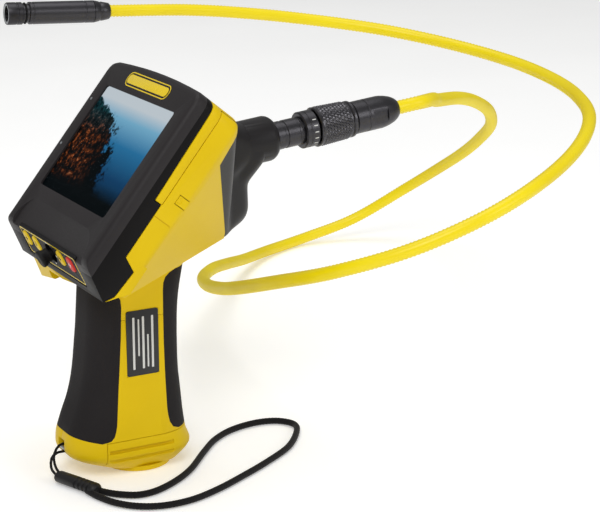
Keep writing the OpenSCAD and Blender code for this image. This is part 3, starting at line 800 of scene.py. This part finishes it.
post = {"x": 42, "y": 7, "radius": 8, "low": 103, "high": 153}


def handleForm(name, inset):
    # rounded sections drawn upward, eased between the listed heights
    rows = [Vector(s) for s in body["sections"]]
    steps = [curvePoint(rows, i, j / 4) for i in range(len(rows) - 1) for j in range(4)] + [rows[-1]]
    z, back, ahead, half = steps[0]
    length, width, middle = ahead - back - 2 * inset, 2 * (half - inset), (ahead + back) / 2
    bpy.ops.mesh.primitive_plane_add(size=1, location=(middle, 0, z))
    piece = named(name)
    piece.scale = (length, width, 1)
    settle(piece)
    editing(piece)
    bpy.ops.mesh.bevel(offset=body["corner"] - inset, segments=9, affect="VERTICES")
    bpy.ops.mesh.select_all(action="SELECT")
    for nextZ, back, ahead, half in steps[1:]:
        nextMiddle, nextLength, nextWidth = (ahead + back) / 2, ahead - back - 2 * inset, 2 * (half - inset)
        way = (nextMiddle - middle, 0, nextZ - z)
        bpy.ops.mesh.extrude_region_move(TRANSFORM_OT_translate={"value": way})
        bpy.ops.transform.resize(
            value=(nextLength / length, nextWidth / width, 1), center_override=(nextMiddle, 0, nextZ)
        )
        z, middle, length, width = nextZ, nextMiddle, nextLength, nextWidth
    outward()
    return piece


def uprights(low, high, radius):
    # the two round posts behind the nose
    made = []
    for y in (-post["y"], post["y"]):
        middle = (post["x"], y, (low + high) / 2)
        bpy.ops.mesh.primitive_cylinder_add(vertices=40, radius=radius, depth=high - low, location=middle)
        made.append(settle(named("upright")))
    return made


def skinOver(pieces, name):
    piece = joined(pieces, name)
    editing(piece)
    bpy.ops.mesh.convex_hull()
    done()
    return piece


def headForm(name, inset, roundness):
    # the cheeks' slab and the two uprights behind the nose, under one tight skin
    slab = block("slab", (-50 + inset, -46 + inset, -26 + inset), (41 - inset, 46 - inset, -13 + inset))
    if roundness:
        carve(slab, consolePlan("plan", -40, 5), "INTERSECT")
        pickEdges(slab, lambda a, b: a.z < -20 and b.z < -20)
        bpy.ops.mesh.bevel(offset=roundness, segments=5, affect="EDGES")
        done()
    settle(slab, screenAt)
    posts = uprights(post["low"] + inset, post["high"] - inset, post["radius"] - inset)
    return skinOver([slab, *posts], name)


def bayForm(inset, low, high):
    bay = plate("bay", 35 - 2 * inset, 29.8 - 2 * inset, 7 - inset, low, high)
    return settle(bay, Matrix.Translation((3, 0, 0)))


aboveRim = settle(
    prism(
        "aboveRim",
        [(60, -14.2), (-8.6, -14.2), (-8.6, -13.8), (-35.25, -13.8), (-38.45, -20.8), (-51.5, -19.8),
         (-56.3, -16.8),
         (-70, -10), (-70, 20), (60, 20)],
        300,
    ),
    screenAt,
)
cowlSide = prism("cowlSide", body["cowlSide"], 300)
handleOuter = handleForm("handleOuter", 0)
handleInner = handleForm("handleInner", body["gripThickness"])
headOuter = headForm("headOuter", 0, 4)
headInner = headForm("headInner", body["wall"], 0)

shell = twin(headOuter, "shell")
carve(shell, twin(handleOuter, "handleCopy"), "UNION")
lip = prism("lip", [(-34, -18), (-57.5, -15), (-56, -16.8), (-50, -22), (-47, -25), (-34, -25)], 91.97)
carve(shell, settle(lip, screenAt), "UNION")
carve(shell, headInner, keep=True)
carve(shell, bayForm(0, 4.8, 98))
carve(shell, aboveRim, keep=True)
carve(shell, cowlSide, keep=True)
grips = {}
for name, zone in (("rearGrip", body["rearZone"]), ("frontGrip", body["frontZone"])):
    wide = prism("zone", zone, 60)
    grip = twin(handleOuter, name)
    carve(grip, wide, "INTERSECT", keep=True)
    carve(grip, handleInner, keep=True)
    grips[name] = grip
    pocket = carve(wide, handleInner, keep=True)
    carve(shell, pocket)
coverZone = block("coverZone", (-16.1, -100, -50), (100, 100, body["coverHeight"] + 0.3))
carve(shell, coverZone)
for y in (-46, 46):
    hole = settle(block("latchHole", (-5.3, y - 5, -24.5), (-0.7, y + 5, -18.4)), screenAt)
    carve(shell, hole)
    groove = block("groove", (-14.5, y - 0.35, -26), (-14.1, y + 0.35, -14))
    carve(shell, settle(groove, screenAt))
carve(shell, block("strapSlot", (-36, -3.2, 9), (-26, 3.2, 16.6)))
carve(shell, block("labelPocket", (-5.05, -19, 46.55), (10.45, -17.25, 76.65)))
half = {
    "leftBody": ("left_body", -1, 1), "rightBody": ("right_body", 1, 1),
    "leftHandle": ("left_handle", -1, -1), "rightHandle": ("right_handle", 1, -1),
}
for name, (nodeName, side, level) in half.items():
    piece = twin(shell, name)
    lowY, highY = (-0.05, 200) if side < 0 else (-200, 0.05)
    carve(piece, block("half", (-200, lowY, -200), (200, highY, 300)))
    seam = body["seamHeight"]
    lowZ, highZ = (-200, seam + 0.1) if level > 0 else (seam - 0.1, 300)
    carve(piece, block("level", (-200, -200, lowZ), (200, 200, highZ)))
    soften(piece, 0.35, 2)
    finishPiece(piece, yellowAbs, "body", [nodeName])
bpy.data.objects.remove(shell)
for name, nodeName in (("rearGrip", "rear_grip"), ("frontGrip", "front_grip")):
    soften(grips[name], 0.4, 2)
    finishPiece(grips[name], gripRubber, "body", [nodeName])
print("body shells done")

cradleCopy = nodeCopy("cradle", "cradleRim")
carve(cradleCopy, settle(consolePlan("plan", -40, 5), screenAt), "INTERSECT")
soften(cradleCopy, 0.35, 2)
finishPiece(cradleCopy, yellowAbs, "body", ["cradle"])

cover = twin(handleOuter, "batteryDoor")
carve(cover, block("zone", (-15.8, -100, -50), (100, 100, body["coverHeight"])), "INTERSECT")
carve(cover, bayForm(1.5, 4.8, 30))
carve(cover, block("column", (-3, -6, 4), (8, 6, 16)), "UNION")
for z in (8.8, 13.2):
    for y in (-19.4, 19.4):
        groove = plate("groove", 31.5, 2.6, 0.6, z - 0.9, z + 0.9, 3)
        carve(cover, settle(groove, Matrix.Translation((0.75, y, 0))))
soften(cover, 0.35, 2)
finishPiece(cover, yellowAbs, "cover", ["battery_cover"])

foot = lathe("footDisc", [(0.0, 14.2), (0.0, 15.0), (0.3, 15.5), (1.2, 15.8), (2.5, 16.0)], 72)
settle(foot, Matrix.Translation((6, 0, 0)))
finishPiece(foot, yellowAbs, "cover", ["round_foot"])

latch = {"u": (-5, -1), "side": 44.2, "half": 1.8, "depth": (-24.2, -18.7)}
for side, name, nodeName in ((-1, "left_latch", "left_release"), (1, "right_latch", "right_release")):
    middle = side * latch["side"]
    (nearU, farU), (low, high) = latch["u"], latch["depth"]
    key = block("latchKey", (nearU, middle - latch["half"], low), (farU, middle + latch["half"], high))
    key.name = name + "Key"
    ridge = block("ridge", (-4.2, side * 46 - 0.25, -21.0), (-1.8, side * 46 + 0.25, -19.4))
    carve(key, ridge)
    settle(soften(key, 0.3, 2), screenAt)
    finishPiece(key, yellowAbs, name, [nodeName])

label = plate("sideLabel", 15.4, 30, 1.2, -0.35, 0.25, 5)
soften(label, 0.12, 2)
labelAt = Matrix.Translation((2.7, -17.6, 61.6)) @ turned(90, "X")
settle(label, labelAt)
finishPiece(label, labelFilm, "body", ["side_label"])
bars = []
for x, y, wide, tall in (
    (-4.3, 0, 1.0, 24), (-1.9, 2.5, 0.7, 17), (0.3, 0, 1.0, 24), (2.5, -4, 0.7, 15), (4.7, 0, 1.0, 24),
):
    bar = plate("bar", wide, tall, 0.2, 0.24, 0.3, 2)
    bars.append(settle(bar, labelAt @ Matrix.Translation((x, y, 0))))
finishPiece(joined(bars, "labelBars"), printWhite, "body", smooth=None)

# nose, socket and plug
cowl = twin(headOuter, "noseCowl")


def lobe(x, y, z, radius):
    bpy.ops.mesh.primitive_uv_sphere_add(segments=40, ring_count=24, radius=radius, location=(x, y, z))
    return settle(named("lobe"))


noseRadius = 10.4
lobeRadius = 9.5
lobes = skinOver(
    [*uprights(104, 150, post["radius"]), lobe(54, 0, 113, lobeRadius), lobe(53.5, 0, 128, lobeRadius)],
    "lobes",
)
neckRing = settle(lathe("neckRing", [(0, noseRadius), (8, noseRadius)], 48), noseAt(-26))
neck = skinOver([*uprights(128, 152, post["radius"]), neckRing], "neck")
throatRing = settle(lathe("throatRing", [(0, noseRadius), (2, noseRadius)], 48), noseAt(-13))
throat = skinOver([lobe(53.5, 0, 127, lobeRadius), throatRing], "throat")
carve(cowl, [lobes, neck, throat], "UNION")
modify(cowl, "REMESH", mode="VOXEL", voxel_size=1.0)
modify(cowl, "SMOOTH", factor=0.6, iterations=14)
sleeveDrop = ((-22, 0), (-6.4, 0), (-5.2, 0.35), (-4.2, 0.95), (-3.4, 1.7), (-2.9, 2.6))
sleeve = lathe("sleeve", [(place, noseRadius - drop) for place, drop in sleeveDrop], 64)
carve(cowl, settle(sleeve, noseAt(0)), "UNION")
carve(cowl, cowlSide, "INTERSECT")
carve(cowl, aboveRim)
rearCut = carve(headInner, block("stop", (46, -200, 100), (66, 200, 180)))
carve(cowl, rearCut)
carve(cowl, settle(lathe("bore", [(-40, 6.55), (20, 6.55)], 48), noseAt(0)))
finishPiece(cowl, noseAbs, "body", ["nose_cowl"], smooth=38)
for spare in (handleOuter, handleInner, headOuter):
    bpy.data.objects.remove(spare)

socket = lathe(
    "socketTube",
    [(-22, 4.75), (-22, 6.5), (1.2, 6.5), (1.5, 6.15), (2.6, 6.15), (2.9, 6.5), (8.6, 6.5), (8.9, 6.2),
     (9.9, 6.2),
     (10.2, 6.5), (23.6, 6.5), (24, 6.1), (24, 4.75)],
    72, hollow=True,
)
settle(socket, noseAt(0))
finishPiece(socket, blackAnodised, "body", ["socket_tube"])

ring = lathe(
    "indexRing",
    [(11, 6.55), (11, 7.9), (11.5, 8.5), (13.2, 8.5), (13.4, 8.3), (13.8, 8.3), (14, 8.5), (17.5, 8.5),
     (18, 8.0),
     (18, 6.55)],
    72, hollow=True,
)
settle(ring, noseAt(0))
finishPiece(ring, blackAnodised, "body", ["index_ring"])
ticks = []
for turn in range(-40, 60, 20):
    tick = settle(block("tick", (8.45, -0.25, 15), (8.56, 0.25, 16.8)), turned(turn, "Z"))
    ticks.append(settle(tick, noseAt(0) @ turned(-90, "Z")))
finishPiece(joined(ticks, "indexTicks"), printWhite, "body", smooth=None)

knurl = {"from": 1.0, "to": 17.3, "pitch": 0.8, "sides": 72, "raise": 0.5, "start": 9.0, "drop": 0.034}
knurlRows = int((knurl["to"] - knurl["from"]) / knurl["pitch"])
stations = [(0, 6.8), (0, 8.8), (0.4, 9.25), (0.7, 9.2)]
for i in range(knurlRows + 1):
    place = knurl["from"] + i * knurl["pitch"]
    stations.append((place, knurl["start"] - knurl["drop"] * place))
stations += [(17.6, 8.1), (18.0, 8.55), (19.0, 8.55), (19.4, 8.2), (19.4, 5.27), (8.2, 5.27), (8.2, 6.8)]
collar = lathe("lockCollar", stations, knurl["sides"], hollow=True)
editing(collar)
bpy.ops.mesh.select_all(action="DESELECT")
mesh = bmesh.from_edit_mesh(collar.data)
for vertex in mesh.verts:
    # every other point of every other row stands up, shifted by one each time, as small diamonds
    row = round((vertex.co.z - knurl["from"]) / knurl["pitch"])
    column = round(Vector(vertex.co.xy).angle_signed(Vector((1, 0))) / (2 * pi) * knurl["sides"])
    onSkin = vertex.co.xy.length > 8.3 and 0 < row < knurlRows
    vertex.select = onSkin and row % 2 == 0 and (column + row // 2) % 2 == 0
bmesh.update_edit_mesh(collar.data)
bpy.ops.transform.shrink_fatten(value=knurl["raise"])
done()
settle(collar, noseAt(18.6))
# the collar takes the paler copy of the anodised metal: painted highlight on the knurl
finishPiece(collar, knurlHighlightAnodised, "collar", ["lock_collar"], smooth=None)

barrel = lathe(
    "plugBarrel",
    [(38.4, 5.25), (38.4, 7.0), (39.0, 7.65), (44.7, 7.65), (45.0, 7.4), (45.4, 7.4), (45.7, 7.65),
     (53.5, 7.65),
     (55.0, 7.5), (57.5, 7.0), (60.0, 6.2), (61.8, 5.2), (62.8, 4.4), (62.8, 3.5), (60.5, 3.5), (60.5, 4.7),
     (50.2, 4.7), (50.2, 5.25)],
    72, hollow=True,
)
for side in (-1, 1):
    carve(barrel, block("flat", (-8, side * 8.4 - 1.6, 47), (8, side * 8.4 + 1.6, 55)))
settle(barrel, noseAt(0))
finishPiece(barrel, blackAnodised, "probe", ["plug_barrel"])
print("nose and plug done")

# camera head
ferrule = lathe(
    "headFerrule",
    [(4, 3.5), (4, 4.1), (4.4, 4.45), (8.5, 5.2), (9, 5.05), (9.6, 5.1), (10, 5.45), (12.4, 5.9), (13, 6.0),
     (13.0, 4.95), (17, 4.95), (17, 2.0), (9.3, 2.0), (9.3, 3.5)],
    56, hollow=True,
)
settle(ferrule, headAt(0))
finishPiece(ferrule, blackAnodised, "probe", ["head_ferrule"])
headBarrel = lathe(
    "headBarrel",
    [(13.1, 5.0), (13.1, 5.8), (13.3, 6.0), (17.6, 6.0), (17.8, 5.8), (18.4, 5.8), (18.6, 6.0), (46.5, 6.0),
     (46.7, 5.8), (47.2, 5.8), (47.4, 6.0), (48.7, 6.0), (49.05, 5.7), (49.05, 4.9), (57.5, 4.9), (57.5, 4.3),
     (45, 4.3), (45, 5.0)],
    72, hollow=True,
)
settle(headBarrel, headAt(0))
finishPiece(headBarrel, blackAnodised, "probe", ["head_barrel"])
tipRing = lathe(
    "tipRing",
    [(52.6, 4.97), (52.6, 5.7), (52.9, 6.0), (55.2, 6.0), (55.4, 5.8), (56.0, 5.8), (56.2, 6.0), (60.5, 6.0),
     (61.0, 5.7), (61.0, 5.45), (60.5, 5.45), (60.5, 4.2), (59.2, 4.2), (59.2, 4.97)],
    72, hollow=True,
)
settle(tipRing, headAt(0))
finishPiece(tipRing, tipBlack, "tip", ["tip_ring"])
tipFace = lathe(
    "tipFace",
    [(60.52, 4.2), (60.52, 5.4), (60.85, 5.4), (60.95, 5.3), (60.95, 4.4), (60.7, 4.2)],
    72, hollow=True,
)
settle(tipFace, headAt(0))
finishPiece(tipFace, tipSteel, "tip")
lens = lathe(
    "lensBarrel",
    [(46, 2.2), (56.4, 2.2), (56.8, 2.05), (57.2, 1.6), (57.2, 1.3), (56.7, 0.9), (56.6, 0.2)],
    40,
)
settle(lens, headAt(0))
finishPiece(lens, innerPlastic, "probe", ["camera_module"])
lamps = []
for turn in range(0, 360, 60):
    lamp = lathe("lamp", [(56.65, 0.6), (56.95, 0.6), (57.15, 0.45), (57.25, 0.15)], 20)
    lamps.append(settle(lamp, headAt(0) @ turned(turn, "Z") @ Matrix.Translation((3.3, 0, 0))))
finishPiece(joined(lamps, "ringLamps"), lampLens, "probe", ["led_lamps"])

# strap crimp
crimp = {
    "from": Vector((-34.5, -11, 2.9)), "to": Vector((-27.5, -29, 2.9)),
    "past": 3, "plain": 13, "ridges": 4,
}
crimpWay = crimp["to"] - crimp["from"]
crimpLength = crimpWay.length + 2 * crimp["past"]
crimpStations = [(0, 1.9), (0.5, 2.7), (1.4, 3.2), (crimp["plain"], 3.3)]
ridgeSpan = (crimpLength - crimp["plain"] - 2) / crimp["ridges"]
for i in range(crimp["ridges"]):
    start = crimp["plain"] + i * ridgeSpan
    crimpStations += [(start + 0.3, 2.75), (start + 0.9, 2.75), (start + 1.2, 3.3), (start + ridgeSpan, 3.3)]
crimpStations += [(crimpLength - 1.4, 3.2), (crimpLength - 0.5, 2.7), (crimpLength, 1.9)]
crimpPiece = lathe("strapCrimp", crimpStations, 40)
settle(crimpPiece, Matrix.Scale(0.8, 4, (1, 0, 0)))
heading = crimpWay.to_track_quat("Z", "X").to_matrix().to_4x4()
settle(crimpPiece, Matrix.Translation(crimp["from"] - crimpWay.normalized() * crimp["past"]) @ heading)
finishPiece(crimpPiece, crimpPlastic, "body", ["strap_crimp"])
print("head and strap done")

# finishes on the pieces that stay as the frame has them
kept = {
    "screen_window": windowGlass, "lens_window": lensGlass, "lcd_panel": pictureFinish,
    "console_board": boardGreen, "radio_board": boardGreen, "console_battery": foilWrap,
    "console_screws": screwSteel, "body_screws": screwSteel, "contact_springs": screwSteel,
    "contact_plate": screwSteel, "strap_bar": screwSteel, "joystick_rocker": innerPlastic,
    "key_switches": innerPlastic, "cell_holder": innerPlastic, "socket_insert": innerPlastic,
    "plug_core": innerPlastic, "battery_cells": cellWrap, "contact_pins": goldPlate,
    "crimp_sleeve": goldPlate, "seal_ring": knobRubber, "led_board": lampBoard,
}
for nodeName, finish in kept.items():
    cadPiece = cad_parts[nodeName]
    for cadSlot in cadPiece.material_slots:
        cadSlot.material = finish
    if not cadPiece.material_slots:
        cadPiece.data.materials.append(finish)

# floor and light
bpy.ops.mesh.primitive_plane_add(size=6, location=(0, 0, -0.0002))
floor = named("studioFloor")
floorFinish, shader = startFinish("mattWhitePaper")
grain = node(floorFinish, "ShaderNodeTexNoise", Scale=40.0, Detail=3.0).outputs["Fac"]
paper = node(floorFinish, "ShaderNodeValToRGB", stops=[(0.3, "#f2f2f1"), (0.7, "#f5f5f4")], Fac=grain)
floorFinish.node_tree.links.new(paper.outputs["Color"], shader.inputs["Base Color"])
shader.inputs["Roughness"].default_value = 0.9
shader.inputs["Emission Color"].default_value = colour("#ffffff")
shader.inputs["Emission Strength"].default_value = 0.26
floor.data.materials.append(floorFinish)

studio = {
    "sky": ("#ffffff", 0.38),
    "key": ((-0.9, -1.2, 1.5), 0.9, 17),
    "fill": ((0.9, -1.5, 0.9), 0.7, 6),
    "top": ((0.1, 0.3, 1.7), 1.2, 10),
}
world = bpy.data.worlds.new("studioSky")
bpy.context.scene.world = world
world.use_nodes = True
background = world.node_tree.nodes["Background"]
background.inputs["Color"].default_value = colour(studio["sky"][0])
background.inputs["Strength"].default_value = studio["sky"][1]
# the backdrop itself is seen white, while it lights the object softly
backdrop = world.node_tree.nodes.new("ShaderNodeBackground")
path = world.node_tree.nodes.new("ShaderNodeLightPath")
either = world.node_tree.nodes.new("ShaderNodeMixShader")
world.node_tree.links.new(path.outputs["Is Camera Ray"], either.inputs["Fac"])
world.node_tree.links.new(background.outputs["Background"], either.inputs[1])
world.node_tree.links.new(backdrop.outputs["Background"], either.inputs[2])
world.node_tree.links.new(either.outputs["Shader"], world.node_tree.nodes["World Output"].inputs["Surface"])
backdrop.inputs["Color"].default_value = colour("#ffffff")
for name in ("key", "fill", "top"):
    place, size, power = studio[name]
    bpy.ops.object.light_add(type="AREA", location=place)
    lamp = bpy.context.object
    lamp.name = name + "Light"
    lamp.data.size = size
    lamp.data.energy = power
    lamp.rotation_euler = (Vector((0.08, 0.05, 0.08)) - Vector(place)).to_track_quat("-Z", "Y").to_euler()
bpy.context.scene.view_settings.view_transform = "Standard"

print("scene ready")
